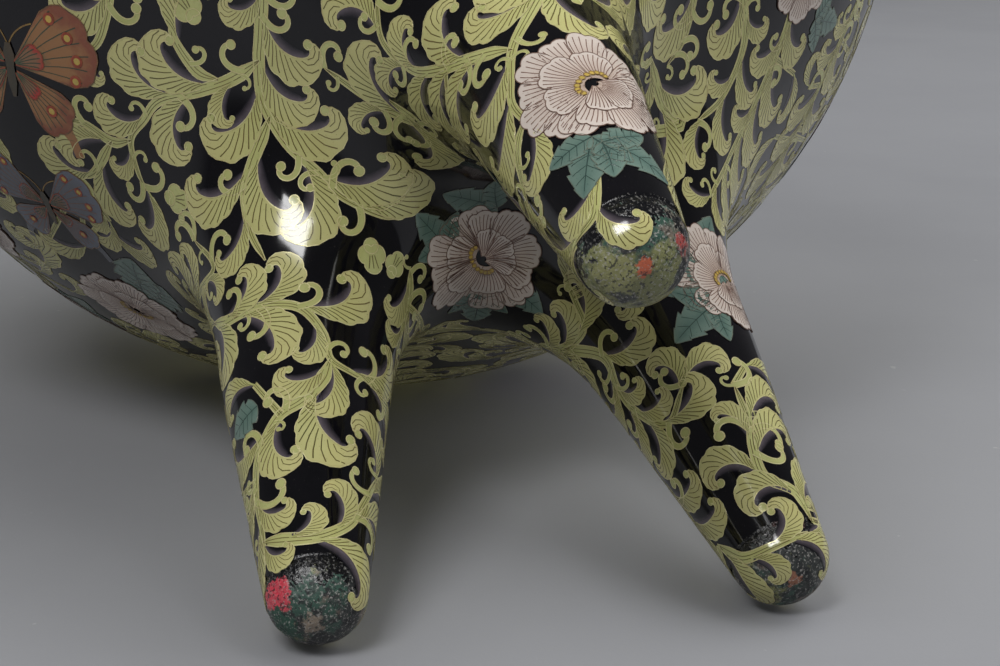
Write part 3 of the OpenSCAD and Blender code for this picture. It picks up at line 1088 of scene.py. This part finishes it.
def scatter_motifs(apart=58.0, clear=21, lowest=80):
    """Flowers and insects on the unseen sides, spread about as they are on the seen one."""
    spots = random_points(700)
    chosen = []
    for p in spots[GROUND.room(spots) > clear]:
        unseen = (p - CENTRE) @ BACK < 15 and lowest < p[2] < CENTRE[2] + SHOULDER_C[1]
        if not unseen or any(norm(p - q) < apart for q in chosen):
            continue
        chosen.append(p)
        number = len(chosen)
        normal = normals_at(p[None])[0]
        heading = turned_heading(unit(np.cross(normal, [0.1, 0.2, 1.0])), normal, 2.4 * number)
        if number % 3:
            flower_group(p, normal, heading)
            continue
        insect, scale, radius = ("butterfly", 1.4, 18.0) if number % 2 else ("moth", 1.3, 15.0)
        lay(insect, p, heading, scale)
        GROUND.take(p, radius)


# Lines along a stem: place and width as shares of its half width, more width, lift and depth
VINE_LINES = {
    "leaf": [(0.0, 1.0, 0.0, 0.035, 0.3)],
    "vein": [(side * 0.3, 0.0, 0.08, 0.055, 0.1) for side in (1, -1)],
    "wire": [(side, 0.0, 0.1, 0.065, 0.12) for side in (1, -1)],
}


def vine_shapes(layer):
    """Mesh arrays of all the stems for the leaf, vein or wire layer."""
    across = np.linspace(-1, 1, 5 if layer == "leaf" else 3)
    for points, normals, half in VINES:
        left = np.cross(normals, direction(points))
        for offset, share, extra, lift, depth in VINE_LINES[layer]:
            wide = half * share + extra
            middle = points + (offset * half)[:, None] * left
            rows = middle[:, None] + across[None, :, None] * (wide[:, None] * left)[:, None]
            edge, around = settle(rows.reshape(-1, 3), times=2)
            flat = Flat()
            slab(flat, np.zeros((len(points), len(across), 2)), lift, depth)
            p = join(edge + lift * around, middle - depth * normals)
            yield p, join(around, normals), np.full(len(p), 0.15), flat.arrays()[3]


def gathered_shapes():
    """Mesh arrays of everything that has been laid, listed by layer and zone."""
    heap = defaultdict(list)
    for name, layers in LIBRARY.items():
        if name not in LAID:
            continue
        origins, *rest = (np.array(x) for x in zip(*LAID[name]))
        origins = settle(origins, times=2)[0]
        zones = zone(origins)
        for layer, flat in layers.items():
            style = MOTH_COLOURS.get(layer, layer) if name == "moth" else layer
            for where in np.unique(zones):
                mine = zones == where
                laid = press(flat.arrays(), origins[mine], *[x[mine] for x in rest])
                heap[style, where].append(laid)
    zones = zone(np.array([points[len(points) // 2] for points, _, _ in VINES]))
    for layer, lines in VINE_LINES.items():
        for n, part in enumerate(vine_shapes(layer)):
            heap[layer, zones[n // len(lines)]].append(part)
    return heap


def inlay_pieces(materials):
    """One piece for every layer and zone."""
    for (layer, where), parts in sorted(gathered_shapes().items()):
        shift = np.cumsum([0] + [len(part[0]) for part in parts[:-1]])
        p, around, fade = (join(*[part[i] for part in parts]) for i in range(3))
        tris = join(*[part[3] + s for part, s in zip(parts, shift)])
        piece = add_mesh(f"{layer}_{where}", p, [], tris, around, [materials[layer]])
        shade = piece.data.attributes.new("fade", "FLOAT", "POINT")
        shade.data.foreach_set("value", fade.astype(np.float32))
        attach(piece, "root")


# ---------------------------------------------------------------- materials
class Graph:
    """Small helper for building the nodes of a material, or of the world."""

    def __init__(self, holder, shader="Principled BSDF"):
        holder.use_nodes = True
        self.holder = holder
        self.tree = holder.node_tree
        self.shader = self.tree.nodes[shader]
        self.ways = self.node("TexCoord").outputs
        self.place = self.ways["Object"]

    def node(self, kind, *inputs, **settings):
        """A node with its first inputs linked or set."""
        made = self.tree.nodes.new("ShaderNode" + kind)
        for key, value in settings.items():
            setattr(made, key, value)
        for socket, value in zip(made.inputs, inputs):
            self.link(value, socket)
        return made

    def link(self, value, socket):
        if hasattr(value, "is_output"):
            self.tree.links.new(value, socket)
        elif isinstance(value, tuple):
            socket.default_value = (*value, 1.0)[:len(socket.default_value)]
        else:
            socket.default_value = value

    def noise(self, scale, detail, rough, shift=0.0):
        """Cloudy 3-D noise; shift moves it, so that two noises differ."""
        way = (shift, 0.37 * shift, -0.61 * shift)
        made = self.node("TexNoise", self.node("VectorMath", self.place, way).outputs[0])
        for key, value in (("Scale", scale), ("Detail", detail), ("Roughness", rough)):
            made.inputs[key].default_value = value
        return made.outputs[0]

    def remap(self, value, low, high, start=0.0, end=1.0):
        return self.node("MapRange", value, low, high, start, end, clamp=True).outputs[0]

    def grain(self, scale, detail, rough, low, high, start=0.0, end=1.0, shift=0.0):
        """Noise stretched from low..high to start..end."""
        return self.remap(self.noise(scale, detail, rough, shift), low, high, start, end)

    def math(self, kind, first, second):
        return self.node("Math", first, second, operation=kind).outputs[0]

    def mix(self, share, first, second):
        """Second over first where the share is 1, as a colour."""
        made = self.node("Mix", share, data_type="RGBA")
        self.link(first, made.inputs[6])
        self.link(second, made.inputs[7])
        return made.outputs[2]

    def cover(self, base, share, most, colour):
        """Colour over the base where share says so, up to most."""
        return self.mix(self.math("MULTIPLY", share, most), base, colour)

    def fade(self):
        return self.node("Attribute", attribute_name="fade").outputs["Fac"]

    def near(self, spot, radius, soft):
        """1 inside a ball about a spot given in millimetres, 0 outside, with a ragged edge."""
        spot = tuple(float(x) * MM for x in spot)
        gap = self.node("VectorMath", self.place, spot, operation="DISTANCE").outputs["Value"]
        ragged = self.math("ADD", gap, self.grain(420, 3, 0.7, 0.3, 0.7, -soft * MM, soft * MM))
        return self.remap(ragged, radius * MM, (radius + 0.5) * MM, 1.0, 0.0)

    def bump(self, value, strength, distance):
        made = self.node("Bump")
        for key, number in (("Strength", strength), ("Distance", distance), ("Height", value)):
            self.link(number, made.inputs[key])
        self.link(made.outputs[0], self.shader.inputs["Normal"])

    def finish(self, colour, rough, metal=0.0, ior=1.58):
        for key, value in (("Base Color", colour), ("Roughness", rough), ("Metallic", metal),
                           ("IOR", ior)):
            self.link(value, self.shader.inputs[key])
        return self.holder


def new_material(name):
    return Graph(bpy.data.materials.new(name))


GROUND_IOR = 1.48


def enamel(name, colour, deeper, lighter=None, scale=110, rough=(0.09, 0.2), by_fade=True):
    """Fired and polished glass enamel: cloudy colour, faint unevenness and fine pits."""
    g = new_material(name)
    base = g.mix(g.grain(scale, 4, 0.65, 0.35, 0.68), colour, deeper)
    if lighter:
        share = g.fade() if by_fade else g.grain(scale / 3, 2, 0.5, 0.45, 0.7, shift=3)
        base = g.cover(base, share, 0.85, lighter)
    base = g.cover(base, g.grain(2600, 2, 0.5, 0.66, 0.74), 0.45, tuple(0.3 * v for v in deeper))
    g.bump(g.noise(240, 3, 0.55), 0.05, 0.0004)
    return g.finish(base, g.grain(70, 3, 0.6, 0.3, 0.7, *rough, shift=1))


def wire_metal(name, colour, dull):
    g = new_material(name)
    base = g.mix(g.grain(500, 3, 0.6, 0.35, 0.65), colour, dull)
    return g.finish(base, g.grain(900, 2, 0.5, 0.3, 0.7, 0.24, 0.42), 0.25)


def black_ground():
    g = new_material("black_ground")
    base = g.mix(g.grain(60, 4, 0.6, 0.35, 0.7), (0.0018, 0.0018, 0.0025), (0.004, 0.0035, 0.005))
    base = g.cover(base, g.grain(3200, 2, 0.5, 0.7, 0.75), 0.5, (0.05, 0.045, 0.04))
    g.bump(g.noise(180, 3, 0.5), 0.04, 0.0004)
    return g.finish(base, g.grain(45, 4, 0.6, 0.35, 0.7, 0.05, 0.12), 0.0, GROUND_IOR)


def hollow_shade(name):
    """Smoky enamel in the hollow of a leaf, darkening away from it."""
    g = new_material(name)
    share = g.math("POWER", g.fade(), 1.25)
    base = g.cover((0.004, 0.004, 0.006), share, g.grain(700, 2, 0.6, 0.3, 0.7, 0.7, 1.0),
                   (0.115, 0.095, 0.11))
    return g.finish(base, g.grain(70, 3, 0.6, 0.3, 0.7, 0.08, 0.16), 0.0, GROUND_IOR)


def wing_enamel(name, root, middle, rim):
    """Enamel that changes colour from the root of a wing to its rim."""
    g = new_material(name)
    share = g.math("ADD", g.fade(), g.grain(260, 3, 0.6, 0.3, 0.7, -0.12, 0.12))
    base = g.mix(g.remap(share, 0.15, 0.4), root, middle)
    base = g.mix(g.remap(share, 0.7, 0.95), base, rim)
    g.bump(g.noise(240, 3, 0.55), 0.05, 0.0004)
    return g.finish(base, g.grain(70, 3, 0.6, 0.3, 0.7, 0.12, 0.24))


def worn_tip(name, number, foot, spots):
    """Rubbed foot: black above, and matt, pitted and patched with old colours round its end."""
    g = new_material(name)
    shift = 0.7 * number
    low = g.near((foot[0], foot[1], 0.0), 10.5, 3.5)
    grey = g.mix(g.grain(300, 5, 0.75, 0.42, 0.6, shift=shift), (0.006, 0.007, 0.008),
                 (0.03, 0.035, 0.032))
    base = g.mix(low, (0.003, 0.003, 0.004), grey)
    green = g.mix(g.noise(500, 3, 0.7), (0.008, 0.035, 0.025), (0.035, 0.085, 0.06))
    base = g.cover(base, low, g.grain(120, 5, 0.7, 0.5, 0.56, shift=shift + 2), green)
    olive = g.mix(g.noise(600, 3, 0.7), (0.1, 0.11, 0.04), (0.2, 0.2, 0.08))
    base = g.cover(base, low, g.grain(95, 4, 0.6, 0.55, 0.6, shift=shift + 5), olive)
    wear = g.grain(140, 4, 0.6, 0.56, 0.62, 0.0, 0.75, shift + 8)
    base = g.cover(base, low, wear, (0.13, 0.095, 0.075))
    for spot, radius, colour in spots:
        base = g.mix(g.near(foot + FOOT_R * unit(np.array(spot)), radius, 1.3), base, colour)
    specks = g.grain(1900, 2, 0.6, 0.56, 0.64, shift=shift)
    base = g.cover(base, specks, g.remap(low, 0.0, 1.0, 0.3, 0.65), (0.3, 0.29, 0.27))
    dark = g.grain(1300, 2, 0.6, 0.58, 0.62, shift=shift + 4)
    base = g.cover(base, dark, 0.8, (0.004, 0.004, 0.005))
    g.bump(g.noise(900, 4, 0.7, shift), 0.45, 0.0006)
    rubbed = g.math("MULTIPLY", low, g.grain(160, 4, 0.7, 0.35, 0.65, 0.2, 0.6, shift + 6))
    return g.finish(base, g.math("ADD", 0.12, rubbed))


def metal(name, colour, dull, rough, scale=160):
    """Bare metal, tarnished in clouds."""
    g = new_material(name)
    tarnish = g.grain(scale, 5, 0.65, 0.38, 0.66)
    g.bump(g.noise(scale * 4, 4, 0.6), 0.12, 0.0004)
    return g.finish(g.mix(tarnish, colour, dull), g.grain(scale / 2, 3, 0.6, 0.3, 0.7, *rough), 1.0)


def floor_paper():
    """Grey paper that is clear from behind, so that the vase's underside can be looked at."""
    g = new_material("floor_paper")
    base = g.mix(g.grain(9, 5, 0.6, 0.3, 0.7), (0.205, 0.208, 0.221), (0.221, 0.224, 0.237))
    base = g.cover(base, g.grain(230, 2, 0.5, 0.76, 0.79), 0.3, (0.42, 0.42, 0.42))
    g.bump(g.noise(1500, 3, 0.6), 0.1, 0.0003)
    one_sided = g.node("MixShader", g.node("NewGeometry").outputs["Backfacing"],
                       g.shader.outputs[0], g.node("BsdfTransparent").outputs[0])
    g.link(one_sided.outputs[0], g.tree.nodes["Material Output"].inputs["Surface"])
    return g.finish(base, 0.7)


# Every layer's material
LOOKS = {
    "leaf": (enamel, "leaf_enamel", (0.36, 0.368, 0.15), (0.305, 0.312, 0.11), (0.42, 0.385, 0.17)),
    "wire": (wire_metal, "leaf_wire", (0.52, 0.49, 0.25), (0.42, 0.36, 0.16)),
    "vein": (enamel, "leaf_vein", (0.075, 0.07, 0.02), (0.12, 0.085, 0.03)),
    "shade": (hollow_shade, "hollow_shade"),
    "petal": (enamel, "petal_enamel", (0.37, 0.29, 0.235), (0.3, 0.22, 0.175), (0.5, 0.445, 0.4),
              140),
    "petal_wire": (wire_metal, "petal_wire", (0.17, 0.1, 0.075), (0.1, 0.05, 0.035)),
    "petal_vein": (enamel, "petal_vein", (0.16, 0.09, 0.07), (0.1, 0.05, 0.04)),
    "gold": (enamel, "gold_enamel", (0.45, 0.3, 0.06), (0.32, 0.24, 0.06)),
    "gold_wire": (wire_metal, "gold_wire", (0.26, 0.17, 0.05), (0.18, 0.1, 0.03)),
    "teal": (enamel, "teal_enamel", (0.085, 0.14, 0.115), (0.055, 0.1, 0.085), (0.12, 0.175, 0.145),
             120),
    "teal_wire": (wire_metal, "teal_wire", (0.14, 0.16, 0.12), (0.08, 0.1, 0.08)),
    "teal_vein": (enamel, "teal_vein", (0.035, 0.06, 0.05), (0.02, 0.04, 0.035)),
    "wing": (wing_enamel, "wing_enamel", (0.04, 0.07, 0.035), (0.24, 0.115, 0.045),
             (0.17, 0.05, 0.025)),
    "wing_wire": (wire_metal, "wing_wire", (0.2, 0.1, 0.04), (0.1, 0.05, 0.03)),
    "wing_vein": (enamel, "wing_vein", (0.035, 0.055, 0.028), (0.02, 0.03, 0.02)),
    "band": (wing_enamel, "band_enamel", (0.05, 0.07, 0.035), (0.2, 0.1, 0.05), (0.3, 0.03, 0.02)),
    "band_wire": (wire_metal, "band_wire", (0.3, 0.06, 0.03), (0.2, 0.04, 0.02)),
    "band_vein": (enamel, "band_vein", (0.03, 0.05, 0.025), (0.02, 0.03, 0.02)),
    "body": (enamel, "butterfly_body", (0.03, 0.03, 0.02), (0.06, 0.04, 0.02)),
    "mauve": (wing_enamel, "mauve_enamel", (0.07, 0.06, 0.045), (0.085, 0.09, 0.105),
              (0.1, 0.11, 0.14)),
    "mauve_vein": (enamel, "mauve_vein", (0.2, 0.07, 0.03), (0.12, 0.05, 0.03)),
    "brown": (wing_enamel, "brown_enamel", (0.06, 0.06, 0.04), (0.13, 0.07, 0.04),
              (0.1, 0.08, 0.08)),
}


def made_looks(table):
    return {key: make(*settings) for key, (make, *settings) in table.items()}


# Materials of the CAD nodes that stay as they are, by what their names hold
CAD_LOOKS = {
    "seam": (metal, "silver_solder", (0.6, 0.58, 0.54), (0.35, 0.33, 0.3), (0.28, 0.45), 300),
    "body_ neck_tube leg_core": (metal, "beaten_copper", (0.62, 0.3, 0.18), (0.3, 0.13, 0.07),
                                 (0.3, 0.5)),
    "lining": (enamel, "counter_enamel", (0.05, 0.075, 0.11), (0.03, 0.05, 0.08),
               (0.09, 0.11, 0.13), 60, (0.2, 0.4), False),
    "mouth_rim": (metal, "rim_metal", (0.66, 0.47, 0.2), (0.36, 0.23, 0.09), (0.2, 0.42), 220),
}


def dress_cad():
    looks = made_looks(CAD_LOOKS)
    for name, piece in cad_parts.items():
        for words, look in looks.items():
            if any(word in name for word in words.split()):
                for slot in piece.material_slots:
                    slot.material = look


# ---------------------------------------------------------------- worn foot tips
def tip_rings(leg, rows=70):
    """Rings from the end of the polish down round the ball to the flat it stands on."""
    top = leg_ring(leg, WORN_HEIGHT)
    start = unit(top - leg.foot)
    pad = sqrt(FOOT_R ** 2 - (FOOT_R - FOOT_FLAT) ** 2)
    edge = unit(unit(start * [1, 1, 0]) * pad - UP * (FOOT_R - FOOT_FLAT))
    return np.stack([top] + [leg.foot + FOOT_R * unit((1 - u) * start + u * edge)
                             for u in np.linspace(0, 1, rows)[1:]])


def pitted(rings, foot, number, depth=0.16):
    """The rings with shallow pits, none of them at the first and the last ring."""
    wave = rings * 1.1 + 10 * number
    pits = np.zeros(rings.shape[:2])
    for k, size in enumerate((0.9, 1.7, 3.1, 5.3)):
        swing = np.sin(size * (wave @ RNG.normal(size=(3, 3))) + k)
        pits += np.clip(swing.prod(-1), 0, 1) / (k + 1)
    row = np.arange(len(rings))
    fade = np.clip(row / 9, 0, 1) * np.clip((len(rings) - 1 - row) / 5, 0, 1)
    return rings - (depth * pits * fade[:, None])[..., None] * unit(rings - foot)


def worn_tips():
    """The three rubbed tips, pitted a little below the old surface."""
    for number, (name, leg) in enumerate(LEGS.items()):
        rings = pitted(tip_rings(leg), leg.foot, number)
        rows, columns = rings.shape[:2]
        points = join(rings.reshape(-1, 3), [[*leg.foot[:2], 0.0], leg.foot])
        n = rows * columns
        i = np.arange(columns)
        k = (i + 1) % columns
        caps = join(tri(n, n - columns + k, n - columns + i), tri(n + 1, i, k))
        look = worn_tip(f"worn_tip_{name}", number, leg.foot, TIP_SPOTS[name])
        quads = grid_quads(rows, columns, wrap=True)[:, ::-1]
        piece = add_mesh(f"tip_{name}", points, quads, caps, None, [look])
        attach(piece, "root")
        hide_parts(f"foot_tip_{name}")


# ---------------------------------------------------------------- stage, lights and camera
def view_axes():
    """The picture's right and down: the vase lies on its side."""
    right = np.array([0.780, 0.585, -0.221])
    right = level(right, BACK)
    return right, np.cross(right, BACK)


def aim(thing, position, back, right):
    """Places a camera or light: it looks along -back, with its own x axis towards right."""
    right = level(right, back)
    up = np.cross(back, right)
    rows = [(right[i], up[i], back[i], position[i] * MM) for i in range(3)]
    thing.matrix_world = Matrix(rows + [(0, 0, 0, 1)])
    bpy.context.scene.collection.objects.link(thing)


# Each lamp: way to it from the vase and way of its width, both as (right, up, back) in the picture,
# its distance in mm, its width and height in m, its radiance, and whether gloss mirrors it
LAMPS = {
    "softbox": ((-0.256, 0.575, 0.777), (0.909, 0.416, -0.008), 900, 0.41, 0.29, 17.0, True),
    "overhead": ((0.1, 0.98, -0.1), (1.0, 0.0, 0.0), 2200, 3.0, 2.0, 1.35, False),
    "right_wall": ((0.82, 0.57, -0.1), (0.2, -0.4, -0.8), 1700, 3.0, 2.4, 1.9, False),
    "behind": ((-0.1, -0.1, -1.0), (1.0, 0.0, 0.0), 1800, 2.4, 2.4, 3.0, False),
}


def add_lamp(name, towards, width_way, distance, width, height, radiance, mirrored):
    right, down = view_axes()
    axes = np.array([right, -down, BACK])
    back = unit(np.array(towards) @ axes)
    lamp = bpy.data.lights.new(name, "AREA")
    lamp.shape = "RECTANGLE"
    lamp.size = width
    lamp.size_y = height
    lamp.energy = radiance * pi * width * height
    target = CENTRE + np.array([-20.0, -30.0, -130.0])
    box = bpy.data.objects.new(name, lamp)
    box.visible_glossy = mirrored
    aim(box, target + distance * back, back, np.array(width_way) @ axes)
    return box


def add_floor():
    """Grey paper under the vase as it lies: it is seen only from the vase's side."""
    rise = unit(np.array([0.628, -0.628, 0.459]))
    first = unit(np.cross(rise, UP))
    second = np.cross(rise, first)
    steps = np.linspace(-6000, 6000, 25)
    points = CENTRE - BELLY_R * rise + steps[:, None, None] * first + steps[None, :, None] * second
    paper = add_mesh("floor", points.reshape(-1, 3), grid_quads(25, 25)[:, ::-1],
                     materials=[floor_paper()])
    return paper


def pass_floor(box, paper):
    """The floor neither takes nor blocks this light, which is for the side the vase lies on."""
    apart = bpy.data.collections.new("not_lit_from_behind")
    apart.objects.link(paper)
    apart.collection_objects[0].light_linking.link_state = "EXCLUDE"
    box.light_linking.receiver_collection = apart
    box.light_linking.blocker_collection = apart


def add_sky():
    """Soft light from all round: weaker from the camera's side, and weaker still in mirrors."""
    shown, mirrored, far_side, near_side = 0.5, 0.09, 0.32, 0.07
    world = bpy.data.worlds.new("studio")
    g = Graph(world, "Background")
    turn = g.node("VectorMath", g.ways["Generated"], tuple(BACK), operation="DOT_PRODUCT")
    strength = g.remap(turn.outputs["Value"], 0.35, 0.95, far_side, near_side)
    seen = g.node("LightPath")
    for ray, value in (("Is Glossy Ray", mirrored), ("Is Camera Ray", shown)):
        choice = g.node("Mix", seen.outputs[ray])
        g.link(strength, choice.inputs[2])
        g.link(value, choice.inputs[3])
        strength = choice.outputs[0]
    g.link((0.97, 0.98, 1.0), g.shader.inputs["Color"])
    g.link(strength, g.shader.inputs["Strength"])
    bpy.context.scene.world = world


def add_lights(paper):
    boxes = [add_lamp(name, *settings) for name, settings in LAMPS.items()]
    pass_floor(boxes[-1], paper)
    add_sky()
    bpy.context.scene.view_settings.view_transform = "Standard"


def add_camera():
    right, down = view_axes()
    lens = bpy.data.cameras.new("camera")
    lens.lens = 70.03
    lens.sensor_width = 36
    lens.clip_start = 0.01
    lens.clip_end = 60
    camera = bpy.data.objects.new("camera", lens)
    aim(camera, CENTRE + 520 * BACK + 36.6 * right + 126.0 * down, BACK, right)
    bpy.context.scene.camera = camera


# ---------------------------------------------------------------- everything together
def build_ground():
    black = black_ground()
    upper_skins(black)
    lower_skins(black)


lay_design()
scatter_motifs()
free_vines()
fill_gaps()
build_ground()
worn_tips()
inlay_pieces(made_looks(LOOKS))
dress_cad()
add_lights(add_floor())
add_camera()
